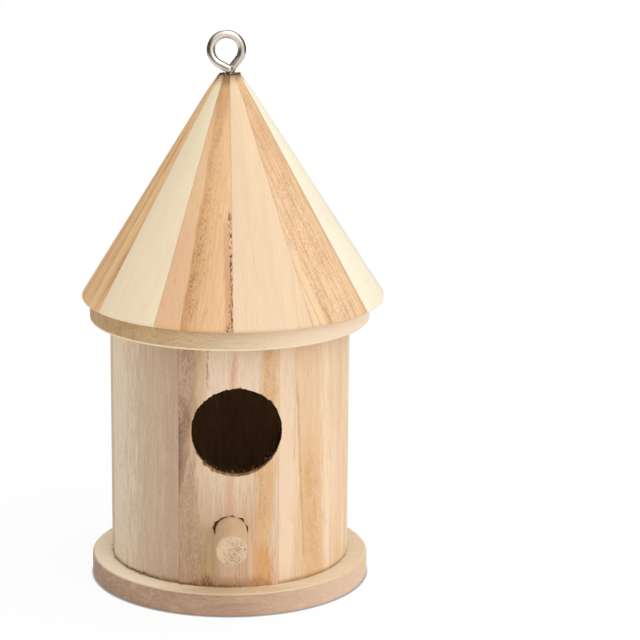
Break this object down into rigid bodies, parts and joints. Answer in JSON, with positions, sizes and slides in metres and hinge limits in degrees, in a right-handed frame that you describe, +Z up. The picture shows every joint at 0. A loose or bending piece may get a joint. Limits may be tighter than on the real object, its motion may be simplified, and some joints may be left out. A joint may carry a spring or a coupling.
{
  "type": "birdhouse",
  "caption": "Round wooden birdhouse: a tube of glued staves with an entrance and a perch, on a base board that comes off, under a cone roof of glued wedges with a screw eye to hang it by.",
  "frame": {"origin": "centre of the base board's underside", "axes": "+Z up along the axis of the body, -Y the way the entrance faces, +X to the right as seen from the front"},
  "size_m": [0.1006, 0.1101, 0.1856],
  "materials": {
    "board_wood": "sanded, unfinished",
    "front_stave_wood": "sanded, unfinished, streaked",
    "body_wood": "sanded, unfinished",
    "roof_cream_wood": "sanded, unfinished",
    "roof_tan_wood": "sanded, unfinished",
    "roof_brown_wood": "sanded, unfinished, open pores",
    "perch_wood": "turned dowel, sawn end",
    "plated_wire": "bright plated",
    "fastener_steel": "zinc plated"
  },
  "bodies": {
    "house": {"front_stave": "front_stave_wood", "right_front_stave": "body_wood", "right_stave": "body_wood", "right_back_stave": "body_wood", "left_back_stave": "body_wood", "left_stave": "body_wood", "left_front_stave": "body_wood", "ceiling_board": "board_wood", "ceiling_brads": "fastener_steel", "perch": "perch_wood", "roof_segment_01": "roof_tan_wood", "roof_segment_02": "roof_brown_wood", "roof_segment_03": "roof_cream_wood", "roof_segment_04": "roof_tan_wood", "roof_segment_05": "roof_brown_wood", "roof_segment_06": "roof_cream_wood", "roof_segment_07": "roof_brown_wood", "roof_segment_08": "roof_tan_wood", "roof_segment_09": "roof_cream_wood", "roof_segment_10": "roof_brown_wood", "roof_segment_11": "roof_cream_wood", "roof_segment_12": "roof_brown_wood"},
    "base": {"base_board": "board_wood", "base_screws": "fastener_steel"},
    "hanger": {"screw_eye": "plated_wire"}
  },
  "joints": [
    {"name": "base_release", "type": "slide", "parent": "house", "child": "base", "axis": [0, 0, -1], "range_m": [0, 0.04]},
    {"name": "eye_turn", "type": "hinge", "parent": "house", "child": "hanger", "pos_m": [0, 0, 0.165], "axis": [0, 0, 1], "range_deg": [-180, 180]}
  ]
}
